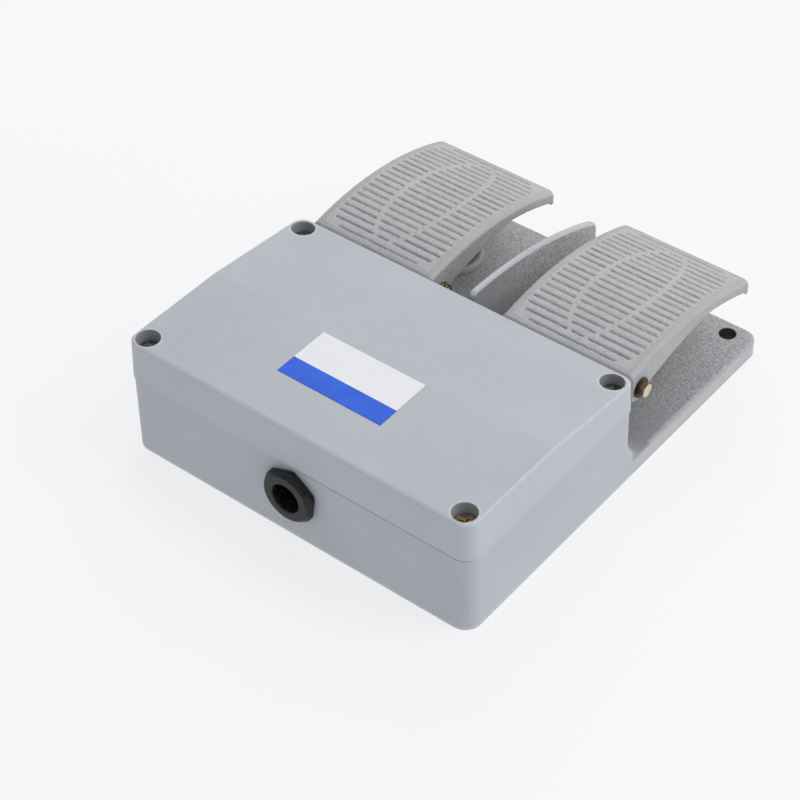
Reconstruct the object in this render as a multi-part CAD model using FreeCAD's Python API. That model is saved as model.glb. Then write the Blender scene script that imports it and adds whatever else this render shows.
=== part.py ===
import FreeCAD, Part
import math
import os

V = FreeCAD.Vector
os.makedirs("parts", exist_ok=True)

# Double foot switch. Millimetres, Z up, pedals' free ends toward -Y, cable entry toward +Y.
# Everything is built in the casting's frame and moved by SHIFT_Y at the end, so that the
# origin lies under the middle of the whole object. "Right" is +X, "left" is its mirror image.

# main casting
SEAM_W = 135.0
BASE_D = 161.0
BASE_DRAFT = 0.4
WALL = 3.2
FLOOR = 3.2
CORNER_R = 5.7
HOUSING_TOP = 29.2
BOX_DEPTH = 85.7
PLATE_T = 6.5
PLATE_SKIN = 3.2
PLATE_EDGE = 1.1
PLATE_CORNER_R = 5.0
ROOT_R = 8.0
RIB_T = 2.4
MOUNT_INSET_X = 8.9
MOUNT_INSET_Y = 6.5
MOUNT_HOLE_R = 2.8
MOUNT_PAD = 12.0

# lid
GASKET_T = 0.3
GASKET_INSET = 0.15
GASKET_W = 2.2
LID_H = 14.5
LID_FALL = 4.1
LID_FLAT = 42.6
LID_STEP = 0.25
LID_DRAFT = 0.7
LID_SHELL = 2.8
LID_EDGE = 0.7
SCREW_INSET_X = 5.6
SCREW_INSET_Y = 5.75
BOSS_HALF = 4.8
SCREW_R = 2.0
SCREW_PASS = 0.25
SCREW_HEAD_R = 3.5
SCREW_HEAD_H = 2.6
CROSS_ARM = 0.6
CROSS_HALF = 0.12
SCREW_LEN = 16.0
TAP_SPARE = 2.0
COUNTERBORE_R = 4.0
COUNTERBORE_DEPTH = 6.8

# blank rating plate on the lid
LABEL_W = 40.3
LABEL_D = 22.0
LABEL_T = 0.2
LABEL_GAP = 1.6

# pedals
PEDAL_INNER = 14.1
PEDAL_SIDE_INSET = 3.3
PEDAL_NEAR_GAP = 1.4
PEDAL_FAR_INSET = 3.5
TREAD_RISE = 9.5
TREAD_PEAK = 25.8
TREAD_FALL = 9.7
TREAD_T = 3.2
RIM_T = 4.2
SKIRT_T = 2.6
SKIRT_FLAT = 25.5
SKIRT_BOW = 1.3
LIP_T = 2.6
LIP_DROP = 1.6
EAR_R = 5.2
PEDAL_EDGE = 1.2
PEDAL_CORNER_R = 2.6

# grooves in the tread
SLOT_PITCH = 3.15
SLOT_W = 1.3
SLOT_DEPTH = 0.7
SLOT_FIRST = 3.4
SLOT_LAST = 3.9
FIELD_MARGIN = 3.45
FIELD_R = 9.0
OVAL_A = 10.2
OVAL_B = 29.8
BAND_HALF = 0.65

# hinge
HINGE_OUT = 6.8
HINGE_RISE = 1.3
BOLT_R = 1.5
RUN_GAP = 0.05
FIX_GAP = 0.02
SIDE_GAP = 0.4
LUG_T = 5.0
LUG_R = 3.8
LUG_TOE = 1.0
STOP_GAP = 0.3
WASHER_R = 3.5
WASHER_T = 0.5
FACE_GAP = 0.3
BOLT_HEAD_AF = 5.5
BOLT_HEAD_H = 2.0
BOLT_PROUD = 0.6
NUT_H = 2.4
NUT_AF = 5.5

# actuator
ROD_DROP = 10.5
ROD_R = 2.0
ROD_OUT = 3.05
ROD_TRAVEL = 2.7
TOUCH_GAP = 0.35
TONGUE_W = 10.0
TONGUE_ROOT = 5.0
TONGUE_TIP = 4.0
TONGUE_BELOW = 4.0
TONGUE_BEVEL = 0.5
GUIDE_HALF = 4.0
GUIDE_PROUD = 2.5

# snap switches
SWITCH_L = 27.8
SWITCH_D = 15.9
SWITCH_T = 10.3
SWITCH_BACK = 16.0
SWITCH_HOLE_X = 22.2
SWITCH_HOLE_Y = 10.3
SWITCH_HEAD_AF = 5.5
SWITCH_HEAD_H = 2.0
SWITCH_PAD = 3.4
BUTTON_HALF = 1.6
BUTTON_OUT = 3.4
BUTTON_LEN = 6.4
BUTTON_SPARE = 0.5
TAB_PITCH = 9.6
TAB_W = 4.8
TAB_T = 0.8
TAB_OUT = 6.4
TAB_IN = 0.8

# return spring
SPRING_IN = 27.0
SPRING_MEAN_R = 6.2
SPRING_WIRE_R = 0.8
SPRING_TURNS = 5
SPRING_STEPS = 10
SPRING_PAD_DROP = 6.8
SPRING_PAD_RIM = 0.5
SPRING_PEG = 3.5
PEG_GAP = 1.4
SEAT_RING_R = 11.5
SEAT_RING_IN = 8.4
SEAT_RING_H = 3.0

# divider fin
FIN_TOP_T = 2.4
FIN_DRAFT_DEG = 1.5
FIN_EDGE = 0.7
FIN_END_R = 2.5
FIN_PEAK = 7.8
FIN_RISE = 6.9
FIN_FALL = 14.7
FIN_NEAR_GAP = 4.4
FIN_FAR_INSET = 1.3

# cable gland
GLAND_DROP = 11.0
GLAND_AF = 19.0
GLAND_OUT = 3.48
GLAND_FACE_R = 8.8
GLAND_CONE = 3.9
GLAND_BORE_R = 5.3
GLAND_THREAD_R = 7.9
GLAND_NECK_IN = 9.0
GLAND_NUT_AF = 21.0
GLAND_NUT_T = 4.5

# protective earth
EARTH_X = 22.0
EARTH_FROM_REAR = 12.0
EARTH_RISE = 5.8
EARTH_HALF = 4.5
EARTH_LEN = 5.5
EARTH_HEAD_AF = 7.0
EARTH_HEAD_H = 2.8
EARTH_SPARE = 0.5

# derived positions
BASE_W = SEAM_W + 2 * BASE_DRAFT
REAR_Y = BASE_D / 2
FRONT_Y = -BASE_D / 2
BACK_Y = REAR_Y - BOX_DEPTH
SEAM_REAR = REAR_Y - BASE_DRAFT
CAVITY_HALF = SEAM_W / 2 - WALL
CAVITY_BACK = BACK_Y + WALL
CAVITY_REAR = SEAM_REAR - WALL
LID_BOTTOM = HOUSING_TOP + GASKET_T
LID_TOP = LID_BOTTOM + LID_H
RIDGE_Y = REAR_Y - LID_FLAT
LID_SLOPE = LID_FALL / (RIDGE_Y - BACK_Y)
SCREW_X = SEAM_W / 2 - SCREW_INSET_X
SCREW_YS = (REAR_Y - SCREW_INSET_Y, BACK_Y + SCREW_INSET_Y)
HINGE_Y = BACK_Y - HINGE_OUT
HINGE_Z = HOUSING_TOP + HINGE_RISE
PEDAL_X0 = PEDAL_INNER
PEDAL_X1 = SEAM_W / 2 - PEDAL_SIDE_INSET
PEDAL_MID = (PEDAL_X0 + PEDAL_X1) / 2
PEDAL_NEAR = BACK_Y - PEDAL_NEAR_GAP
PEDAL_FAR = FRONT_Y + PEDAL_FAR_INSET
TREAD_PEAK_Y = BACK_Y - TREAD_PEAK
TREAD_R = ((TREAD_PEAK_Y - PEDAL_FAR) ** 2 + TREAD_FALL ** 2) / (2 * TREAD_FALL)
TREAD_CZ = HINGE_Z + TREAD_RISE - TREAD_R
LUG_X0S = (PEDAL_X0 + SKIRT_T + SIDE_GAP, PEDAL_X1 - SKIRT_T - SIDE_GAP - LUG_T)
ROD_Z = HINGE_Z - ROD_DROP
TONGUE_BACK = BACK_Y - ROD_OUT - TOUCH_GAP
SWITCH_FRONT = BACK_Y + SWITCH_BACK
SWITCH_REAR = SWITCH_FRONT + SWITCH_D
SWITCH_Z0 = ROD_Z - SWITCH_T / 2
SWITCH_Z1 = ROD_Z + SWITCH_T / 2
SPRING_Y = PEDAL_FAR + SPRING_IN
SPRING_PAD_Z = HINGE_Z + TREAD_RISE - SPRING_PAD_DROP
FIN_PEAK_Y = BACK_Y - FIN_PEAK
FIN_PEAK_Z = HINGE_Z + FIN_RISE
FIN_NEAR = BACK_Y - FIN_NEAR_GAP
FIN_FAR = FRONT_Y + FIN_FAR_INSET
FIN_R = ((FIN_PEAK_Y - FIN_FAR) ** 2 + FIN_FALL ** 2) / (2 * FIN_FALL)
GLAND_Z = HOUSING_TOP - GLAND_DROP
GLAND_FACE = SEAM_REAR + GLAND_OUT
EARTH_Y = CAVITY_REAR - EARTH_FROM_REAR
EARTH_TOP = FLOOR + EARTH_RISE
MOUNT_XS = (MOUNT_INSET_X - BASE_W / 2, BASE_W / 2 - MOUNT_INSET_X)
MOUNT_Y = FRONT_Y + MOUNT_INSET_Y
SHIFT_Y = -(GLAND_FACE - REAR_Y) / 2
FAR_OUT = 2 * BASE_D


def tread_z(y, drop=0.0):
    """Height of the tread's arc, or of an arc lying below it by drop."""
    r = TREAD_R - drop
    return TREAD_CZ + math.sqrt(r * r - (y - TREAD_PEAK_Y) ** 2)


def tread_point(y, drop=0.0):
    return (0, y, tread_z(y, drop))


def tread_arc(y0, y1, drop=0.0):
    return arc(tread_point(y0, drop), tread_point((y0 + y1) / 2, drop), tread_point(y1, drop))


def fin_point(y):
    return (0, y, FIN_PEAK_Z - FIN_R + math.sqrt(FIN_R ** 2 - (y - FIN_PEAK_Y) ** 2))


def lid_z(y):
    """Height of the lid's top: flat over the rear half, sloping down to the pedals."""
    return LID_TOP if y >= RIDGE_Y else LID_TOP - (RIDGE_Y - y) * LID_SLOPE


def block(x0, x1, y0, y1, z0, z1):
    return Part.makeBox(x1 - x0, y1 - y0, z1 - z0, V(x0, y0, z0))


def rod_z(x, y, z0, z1, r):
    return Part.makeCylinder(r, z1 - z0, V(x, y, z0), V(0, 0, 1))


def rod_y(x, y0, y1, z, r):
    return Part.makeCylinder(r, y1 - y0, V(x, y0, z), V(0, 1, 0))


def rod_x(x0, x1, y, z, r):
    return Part.makeCylinder(r, x1 - x0, V(x0, y, z), V(1, 0, 0))


def arc(a, b, c):
    return Part.Arc(V(*a), V(*b), V(*c)).toShape()


def line(a, b):
    return Part.makeLine(V(*a), V(*b))


def path(points):
    return [line(a, b) for a, b in zip(points, points[1:])]


def outline(half_w, y0, y1, r_front, r_rear, z):
    """Rounded rectangle, centred across, with its own radii at the front and the rear."""
    k = 1 - math.sqrt(0.5)
    rf = r_front
    rr = r_rear
    w = half_w
    edges = [
        line((-w + rf, y0, z), (w - rf, y0, z)),
        arc((w - rf, y0, z), (w - rf * k, y0 + rf * k, z), (w, y0 + rf, z)),
        line((w, y0 + rf, z), (w, y1 - rr, z)),
        arc((w, y1 - rr, z), (w - rr * k, y1 - rr * k, z), (w - rr, y1, z)),
        line((w - rr, y1, z), (-w + rr, y1, z)),
        arc((-w + rr, y1, z), (-w + rr * k, y1 - rr * k, z), (-w, y1 - rr, z)),
        line((-w, y1 - rr, z), (-w, y0 + rf, z)),
        arc((-w, y0 + rf, z), (-w + rf * k, y0 + rf * k, z), (-w + rf, y0, z)),
    ]
    return Part.Wire(edges)


def tapered(half_w, y0, y1, r_front, r_rear, z0, z1, inset):
    """Block with drafted sides, its top smaller than its foot by inset all round."""
    low = outline(half_w, y0, y1, r_front, r_rear, z0)
    high = outline(half_w - inset, y0 + inset, y1 - inset, r_front - inset, r_rear - inset, z1)
    return Part.makeLoft([low, high], True, True)


def side_profile(edges, x0, x1):
    """Solid from edges drawn in the YZ plane at x = 0, swept across from x0 to x1."""
    solid = Part.Face(Part.Wire(edges)).extrude(V(x1 - x0, 0, 0))
    solid.translate(V(x0, 0, 0))
    return solid


def polygon(points):
    return Part.Face(Part.makePolygon([V(*p) for p in points + points[:1]]))


def bevel(solid, size, wanted):
    return solid.makeChamfer(size, [e for e in solid.Edges if wanted(e.BoundBox)])


def hex_prism(width_af, height, base, axis, turn=0.0):
    """Hexagonal prism standing on base along axis, given by its width across flats."""
    r = width_af / math.sqrt(3.0)
    angles = [math.radians(60 * i + turn) for i in range(6)]
    solid = polygon([(r * math.cos(a), r * math.sin(a), 0) for a in angles]).extrude(V(0, 0, height))
    solid.Placement = FreeCAD.Placement(V(*base), FreeCAD.Rotation(V(0, 0, 1), V(*axis)))
    return solid


def mirrored(shape):
    return shape.mirror(V(0, 0, 0), V(1, 0, 0))


def both(shape):
    return [shape, mirrored(shape)]


# housing

def housing_shell():
    """Box and base plate as one casting, with the sweep where the box rises off the plate."""
    half = BASE_W / 2
    box = tapered(half, BACK_Y - BASE_DRAFT, REAR_Y, CORNER_R, CORNER_R, 0, HOUSING_TOP, BASE_DRAFT)
    slab = block(-FAR_OUT, FAR_OUT, -FAR_OUT, FAR_OUT, 0, PLATE_T)
    blend = box.fuse(slab).removeSplitter()
    root = [e for e in blend.Edges if abs(e.BoundBox.ZMin - PLATE_T) < 0.01
            and abs(e.BoundBox.ZMax - PLATE_T) < 0.01 and e.BoundBox.DiagonalLength < BASE_D]
    blend = blend.makeFillet(ROOT_R, root)
    plate_draft = BASE_DRAFT * PLATE_T / HOUSING_TOP
    plate = tapered(half, FRONT_Y, REAR_Y, PLATE_CORNER_R, CORNER_R, 0, PLATE_T, plate_draft)
    plate = bevel(plate, PLATE_EDGE, lambda b: b.ZMin > PLATE_T - 0.01 and b.YMin < BACK_Y - 3)
    envelope = tapered(half, FRONT_Y, REAR_Y, PLATE_CORNER_R, CORNER_R, 0, HOUSING_TOP, BASE_DRAFT)
    behind = block(-FAR_OUT, FAR_OUT, BACK_Y - ROOT_R - 1, FAR_OUT, -1, FAR_OUT)
    return plate.fuse(blend.common(envelope).common(behind)).removeSplitter()


def housing_cavity():
    return block(-CAVITY_HALF, CAVITY_HALF, CAVITY_BACK, CAVITY_REAR, FLOOR, HOUSING_TOP + 1)


def plate_pockets():
    """Hollows under the plate between its ribs, clear of the corners that take the screws."""
    half = BASE_W / 2 - WALL
    rib = RIB_T / 2
    y0 = FRONT_Y + WALL
    y2 = BACK_Y - ROOT_R
    y1 = (y0 + y2) / 2
    cells = []
    for a, b in ((rib, PEDAL_MID - rib), (PEDAL_MID + rib, half)):
        for c, d in ((y0, y1 - rib), (y1 + rib, y2)):
            cells.append(block(a, b, c, d, -1, PLATE_T - PLATE_SKIN))
    corner = block(half - MOUNT_PAD, half + 1, y0 - 1, y0 + MOUNT_PAD, -2, PLATE_T)
    cells = [c.cut(corner) for c in cells]
    return cells + [mirrored(c) for c in cells]


def divider_fin():
    """Crescent wall between the pedals: arched top, drafted sides, soft edges."""
    z0 = PLATE_T - 1
    top = arc(fin_point(FIN_NEAR), fin_point((FIN_NEAR + FIN_FAR) / 2), fin_point(FIN_FAR))
    edges = [top] + path([fin_point(FIN_FAR), (0, FIN_FAR, z0), (0, FIN_NEAR, z0), fin_point(FIN_NEAR)])
    slab = side_profile(edges, -PEDAL_INNER, PEDAL_INNER)
    ends = [e for e in slab.Edges if e.BoundBox.XLength > PEDAL_INNER and e.BoundBox.ZMin > z0 + 1]
    slab = slab.makeFillet(FIN_END_R, ends)
    t0 = FIN_TOP_T / 2
    t1 = t0 + (FIN_PEAK_Z - z0) * math.tan(math.radians(FIN_DRAFT_DEG))
    taper = [(-t0, FIN_FAR, FIN_PEAK_Z), (t0, FIN_FAR, FIN_PEAK_Z), (t1, FIN_FAR, z0), (-t1, FIN_FAR, z0)]
    fin = slab.common(polygon(taper).extrude(V(0, FIN_NEAR - FIN_FAR, 0)))
    return bevel(fin, FIN_EDGE, lambda b: b.ZMax > z0 + 1 and b.XLength < 2 and b.ZMin > z0 - 0.1
                 and b.YLength + b.ZLength > 5)


def hinge_lugs():
    """Two brackets per pedal, standing off the box's wall and bored for the bolt. Their front
    edges run down to the wall, and their flat tops stop the pedal rising too far."""
    foot, toe = PLATE_T - 1, BACK_Y - LUG_TOE
    shelf = HOUSING_TOP - 1
    crown, stop = HINGE_Z + LUG_R, tread_z(PEDAL_NEAR, TREAD_T) - STOP_GAP
    reach = math.hypot(toe - HINGE_Y, HINGE_Z - foot)
    low = math.atan2(foot - HINGE_Z, toe - HINGE_Y) - math.acos(LUG_R / reach) + 2 * math.pi
    edges = [arc(lug_point(low), lug_point((low + math.pi / 2) / 2), (0, HINGE_Y, crown))]
    edges += path([(0, HINGE_Y, crown), (0, PEDAL_NEAR, stop), (0, PEDAL_NEAR, shelf), (0, BACK_Y + 1, shelf),
                   (0, BACK_Y + 1, foot), (0, toe, foot), lug_point(low)])
    out = []
    for x0 in LUG_X0S:
        out += both(side_profile(edges, x0, x0 + LUG_T))
    return out


def lug_point(angle):
    """Point on a lug's round end, at an angle up from the way to the box."""
    return (0, HINGE_Y + LUG_R * math.cos(angle), HINGE_Z + LUG_R * math.sin(angle))


def seat_rings():
    ring = rod_z(PEDAL_MID, SPRING_Y, PLATE_T - 1, PLATE_T + SEAT_RING_H, SEAT_RING_R)
    return both(ring.cut(rod_z(PEDAL_MID, SPRING_Y, PLATE_T, PLATE_T + SEAT_RING_H + 1, SEAT_RING_IN)))


def lid_screw_bosses():
    """Corner posts that the lid's screws go down into."""
    out = []
    for y, wall_y in zip(SCREW_YS, (CAVITY_REAR + 1, CAVITY_BACK - 1)):
        ys = sorted((wall_y, y + math.copysign(BOSS_HALF, y - wall_y)))
        out += both(block(SCREW_X - BOSS_HALF, CAVITY_HALF + 1, ys[0], ys[1], FLOOR - 1, HOUSING_TOP))
    return out


def switch_screw_spots():
    """The two screws of a switch stand at opposite corners of its case."""
    mid_y = (SWITCH_FRONT + SWITCH_REAR) / 2
    return [(PEDAL_MID + k * SWITCH_HOLE_X / 2, mid_y + k * SWITCH_HOLE_Y / 2) for k in (-1, 1)]


def square_post(x, y, half, top):
    return block(x - half, x + half, y - half, y + half, FLOOR - 1, top)


def rod_guides():
    """Blocks inside the front wall that lengthen the bores the push rods run in."""
    x0, x1 = PEDAL_MID - GUIDE_HALF, PEDAL_MID + GUIDE_HALF
    end = CAVITY_BACK + GUIDE_PROUD
    return both(block(x0, x1, CAVITY_BACK - 1, end, ROD_Z - GUIDE_HALF, ROD_Z + GUIDE_HALF))


def floor_posts():
    """Posts on the floor: two under each snap switch and one for the earth screw."""
    out = [square_post(EARTH_X, EARTH_Y, EARTH_HALF, EARTH_TOP)]
    for x, y in switch_screw_spots():
        out += both(square_post(x, y, SWITCH_PAD, SWITCH_Z0))
    return out


def housing_holes():
    holes = []
    for y in SCREW_YS:
        end = counterbore_seat(y) - SCREW_LEN - TAP_SPARE
        holes += both(rod_z(SCREW_X, y, end, HOUSING_TOP + 1, SCREW_R + FIX_GAP))
    for x in MOUNT_XS:
        holes.append(rod_z(x, MOUNT_Y, -1, PLATE_T + 1, MOUNT_HOLE_R))
    holes += both(rod_x(PEDAL_X0, PEDAL_X1, HINGE_Y, HINGE_Z, BOLT_R + FIX_GAP))
    holes += both(rod_y(PEDAL_MID, BACK_Y - 2, CAVITY_BACK + GUIDE_PROUD + 1, ROD_Z, ROD_R + RUN_GAP))
    holes.append(rod_y(0, CAVITY_REAR - 1, REAR_Y + 1, GLAND_Z, GLAND_THREAD_R + FIX_GAP))
    end = EARTH_TOP - EARTH_LEN - EARTH_SPARE
    holes.append(rod_z(EARTH_X, EARTH_Y, end, EARTH_TOP + 1, SCREW_R + FIX_GAP))
    return holes


def base_housing():
    body = housing_shell().cut([housing_cavity()] + plate_pockets())
    inside = lid_screw_bosses() + rod_guides() + floor_posts()
    body = body.fuse([divider_fin()] + hinge_lugs() + seat_rings() + inside)
    return body.removeSplitter().cut(housing_holes()).removeSplitter()


# lid, seal and label

def counterbore_seat(y):
    return lid_z(y) - COUNTERBORE_DEPTH


def lid_outline(inset, z):
    half = SEAM_W / 2 + LID_STEP - inset
    r = max(CORNER_R - BASE_DRAFT - inset, 0.5)
    return outline(half, BACK_Y - LID_STEP + inset, SEAM_REAR + LID_STEP - inset, r, r, z)


def above_slope(drop):
    """Everything over the lid's roof line lowered by drop."""
    front, rear = BACK_Y - 10, REAR_Y + 10
    points = [(-FAR_OUT, front, lid_z(front) - drop), (-FAR_OUT, RIDGE_Y, LID_TOP - drop),
              (-FAR_OUT, rear, LID_TOP - drop), (-FAR_OUT, rear, FAR_OUT), (-FAR_OUT, front, FAR_OUT)]
    return polygon(points).extrude(V(2 * FAR_OUT, 0, 0))


def lid():
    """Drafted shell with a sloping roof and a solid block round each deep screw hole."""
    top = LID_TOP + 1
    outer = Part.makeLoft([lid_outline(0, LID_BOTTOM), lid_outline(LID_DRAFT, top)], True, True)
    outer = outer.cut(above_slope(0)).removeSplitter()
    eaves = lid_z(BACK_Y) - 1
    outer = bevel(outer, LID_EDGE, lambda b: b.ZMin > eaves and not (b.XLength > SEAM_W / 2
                                                                    and abs(b.YMin - RIDGE_Y) < 1))
    half = SEAM_W / 2 - LID_SHELL
    inner = block(-half, half, BACK_Y + LID_SHELL, SEAM_REAR - LID_SHELL, LID_BOTTOM - 1, top)
    shell = outer.cut(inner.cut(above_slope(LID_SHELL)))
    reach = COUNTERBORE_R + LID_SHELL / 2
    posts = []
    holes = []
    for y in SCREW_YS:
        post = block(SCREW_X - reach, SCREW_X + SCREW_INSET_X, y - reach, y + reach, LID_BOTTOM, lid_z(y) - 1)
        posts += both(post.common(outer))
        holes += both(rod_z(SCREW_X, y, counterbore_seat(y), top, COUNTERBORE_R))
        holes += both(rod_z(SCREW_X, y, LID_BOTTOM - 1, LID_TOP, SCREW_R + SCREW_PASS))
    return shell.fuse(posts).removeSplitter().cut(holes).removeSplitter()


def lid_gasket():
    """Flat rubber seal between housing and lid, running outside the screws."""
    outer = LID_STEP + GASKET_INSET
    sheet = Part.Face(lid_outline(outer, HOUSING_TOP)).extrude(V(0, 0, GASKET_T))
    half = SEAM_W / 2 - GASKET_INSET - GASKET_W
    front, rear = BACK_Y + GASKET_INSET + GASKET_W, SEAM_REAR - GASKET_INSET - GASKET_W
    return sheet.cut(block(-half, half, front, rear, HOUSING_TOP - 1, LID_BOTTOM + 1))


def lid_screw(y):
    """Cross-recessed screw standing in its counterbore, head down on the seat."""
    z = counterbore_seat(y)
    top = z + SCREW_HEAD_H
    head = rod_z(SCREW_X, y, z, top, SCREW_HEAD_R)
    arm = SCREW_HEAD_R * CROSS_ARM
    half = SCREW_HEAD_R * CROSS_HALF
    low = top - SCREW_HEAD_H / 2
    cross = block(SCREW_X - arm, SCREW_X + arm, y - half, y + half, low, top + 1)
    cross = cross.fuse(block(SCREW_X - half, SCREW_X + half, y - arm, y + arm, low, top + 1))
    shank = rod_z(SCREW_X, y, z - SCREW_LEN, z, SCREW_R)
    return head.fuse(shank).removeSplitter().cut(cross)


def lid_screws():
    out = []
    for y in SCREW_YS:
        out += both(lid_screw(y))
    return out


def label():
    y0 = RIDGE_Y + LABEL_GAP
    return block(-LABEL_W / 2, LABEL_W / 2, y0, y0 + LABEL_D, LID_TOP, LID_TOP + LABEL_T)


# pedal

def pedal_skin():
    """Outer form of a pedal: arched tread, curved skirts and ears, with a turned-down lip."""
    near, far = PEDAL_NEAR, PEDAL_FAR
    lip_z = tread_z(far + 1) - TREAD_T - LIP_DROP
    rim_far = far + LIP_T + 1
    rim_near = far + SKIRT_FLAT
    ear = [(0, HINGE_Y + EAR_R * math.cos(a), HINGE_Z + EAR_R * math.sin(a))
           for a in (math.radians(205), math.radians(285), 0)]
    bow = (0, (rim_near + ear[0][1]) / 2, (tread_z(rim_near, RIM_T) + ear[0][2]) / 2 + SKIRT_BOW)
    edges = [tread_arc(near, far)]
    edges += path([tread_point(far), (0, far, lip_z), (0, far + LIP_T, lip_z), tread_point(rim_far, RIM_T)])
    edges.append(tread_arc(rim_far, rim_near, RIM_T))
    edges.append(arc(tread_point(rim_near, RIM_T), bow, ear[0]))
    edges.append(arc(ear[0], ear[1], ear[2]))
    edges.append(line(ear[2], tread_point(near)))
    solid = side_profile(edges, PEDAL_X0, PEDAL_X1)
    corners = [e for e in solid.Edges if e.BoundBox.YMax < far + 0.01 and e.BoundBox.XLength < 0.01]
    solid = solid.makeFillet(PEDAL_CORNER_R, corners)
    rim = tread_z(far) - 0.1
    return bevel(solid, PEDAL_EDGE, lambda b: b.ZMin > rim and b.YLength + b.XLength > 1
                 and not (b.XLength > (PEDAL_X1 - PEDAL_X0) / 2 and b.YMin > near - 0.1))


def pedal_hollow():
    """Space under the tread between the skirts, open at the near end."""
    far, near = PEDAL_FAR + LIP_T + 0.8, BACK_Y + EAR_R
    edges = [tread_arc(far, near, TREAD_T)]
    edges += path([tread_point(near, TREAD_T), (0, near, 0), (0, far, 0), tread_point(far, TREAD_T)])
    return side_profile(edges, PEDAL_X0 + SKIRT_T, PEDAL_X1 - SKIRT_T)


def slot_spans(along, span):
    """Start and end of each groove in a row: cut short near the field's ends, split by the oval."""
    half = (PEDAL_X1 - PEDAL_X0) / 2 - FIELD_MARGIN
    edge = min(along, span - along) + 1.0
    if edge < FIELD_R:
        half -= FIELD_R - math.sqrt(FIELD_R ** 2 - (FIELD_R - edge) ** 2)
    off = abs(along - span / 2)
    if off >= OVAL_B:
        return [(-half, half)]
    oval = OVAL_A * math.sqrt(1 - (off / OVAL_B) ** 2)
    return [(-half, -oval - BAND_HALF), (-oval + BAND_HALF, oval - BAND_HALF), (oval + BAND_HALF, half)]


def tread_slots():
    """V-shaped cross grooves sunk square to the arched tread."""
    top = TREAD_R + SLOT_W
    half = SLOT_W / 2 * (1 + SLOT_W / SLOT_DEPTH)
    section = polygon([(0, 0, TREAD_R - SLOT_DEPTH), (0, half, top), (0, -half, top)])
    room = PEDAL_NEAR - PEDAL_FAR - SLOT_FIRST - SLOT_LAST
    rows = int(room / SLOT_PITCH) + 1
    out = []
    for row in range(rows):
        y = PEDAL_NEAR - SLOT_FIRST - row * SLOT_PITCH
        lean = math.degrees(math.asin((TREAD_PEAK_Y - y) / TREAD_R))
        for a, b in slot_spans(row * SLOT_PITCH, (rows - 1) * SLOT_PITCH):
            slot = section.extrude(V(b - a, 0, 0))
            slot.translate(V(PEDAL_MID + a, 0, 0))
            slot.rotate(V(0, 0, 0), V(1, 0, 0), lean)
            slot.translate(V(0, TREAD_PEAK_Y, TREAD_CZ))
            out.append(slot)
    return Part.makeCompound(out)


def pedal_tongue():
    """Arm hanging from the tread, thick round the bolt and slim at the tip; it pushes the rod."""
    top, end = HINGE_Z + TREAD_RISE, ROD_Z - TONGUE_BELOW
    front = HINGE_Y - TONGUE_ROOT
    points = [(0, TONGUE_BACK, top), (0, front, top), (0, front, HINGE_Z), (0, TONGUE_BACK - TONGUE_TIP, end),
              (0, TONGUE_BACK - TONGUE_BEVEL, end), (0, TONGUE_BACK, end + TONGUE_BEVEL)]
    return side_profile(path(points + points[:1]), PEDAL_MID - TONGUE_W / 2, PEDAL_MID + TONGUE_W / 2)


def spring_pad():
    r = SPRING_MEAN_R + SPRING_WIRE_R + SPRING_PAD_RIM
    top = HINGE_Z + TREAD_RISE
    return block(PEDAL_MID - r, PEDAL_MID + r, SPRING_Y - r, SPRING_Y + r, SPRING_PAD_Z, top)


def spring_peg():
    """Square peg that keeps the spring's end in place."""
    half = (SPRING_MEAN_R - SPRING_WIRE_R - PEG_GAP) / math.sqrt(2)
    x0, x1 = PEDAL_MID - half, PEDAL_MID + half
    return block(x0, x1, SPRING_Y - half, SPRING_Y + half, SPRING_PAD_Z - SPRING_PEG, SPRING_PAD_Z + 1)


def under_tread():
    """Space under the middle of the tread's thickness, used to trim what hangs from it."""
    far, near, drop = PEDAL_FAR + 1, BACK_Y, TREAD_T / 2
    edges = [tread_arc(far, near, drop)]
    edges += path([tread_point(near, drop), (0, near, 0), (0, far, 0), tread_point(far, drop)])
    return side_profile(edges, PEDAL_X0 + 1, PEDAL_X1 - 1)


def pedal():
    trim = under_tread()
    hung = [h.common(trim) for h in (pedal_tongue(), spring_pad(), spring_peg())]
    body = pedal_skin().cut(pedal_hollow()).fuse(hung)
    hole = rod_x(PEDAL_X0 - 1, PEDAL_X1 + 1, HINGE_Y, HINGE_Z, BOLT_R + RUN_GAP)
    return body.removeSplitter().cut([tread_slots(), hole])


# hinge hardware

def hinge_bolt():
    """Bolt across a pedal, hexagon head at the outer side, its end just past the nut."""
    seat = PEDAL_X1 + FACE_GAP + WASHER_T
    end = PEDAL_X0 - FACE_GAP - NUT_H - BOLT_PROUD
    head = hex_prism(BOLT_HEAD_AF, BOLT_HEAD_H, (seat, HINGE_Y, HINGE_Z), (1, 0, 0), 12)
    r = BOLT_HEAD_AF / 2
    dome = Part.makeCone(r + BOLT_HEAD_H, r, BOLT_HEAD_H, V(seat, HINGE_Y, HINGE_Z), V(1, 0, 0))
    return head.common(dome).fuse(rod_x(end, seat, HINGE_Y, HINGE_Z, BOLT_R)).removeSplitter()


def hinge_nut():
    face = PEDAL_X0 - FACE_GAP
    nut = hex_prism(NUT_AF, NUT_H, (face, HINGE_Y, HINGE_Z), (-1, 0, 0), 20)
    return nut.cut(rod_x(face - NUT_H - 1, face + 1, HINGE_Y, HINGE_Z, BOLT_R + FIX_GAP))


def hinge_washers():
    x0 = PEDAL_X1 + FACE_GAP
    ring = rod_x(x0, x0 + WASHER_T - FIX_GAP, HINGE_Y, HINGE_Z, WASHER_R)
    return both(ring.cut(rod_x(x0 - 1, x0 + WASHER_T + 1, HINGE_Y, HINGE_Z, BOLT_R + FIX_GAP)))


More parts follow.
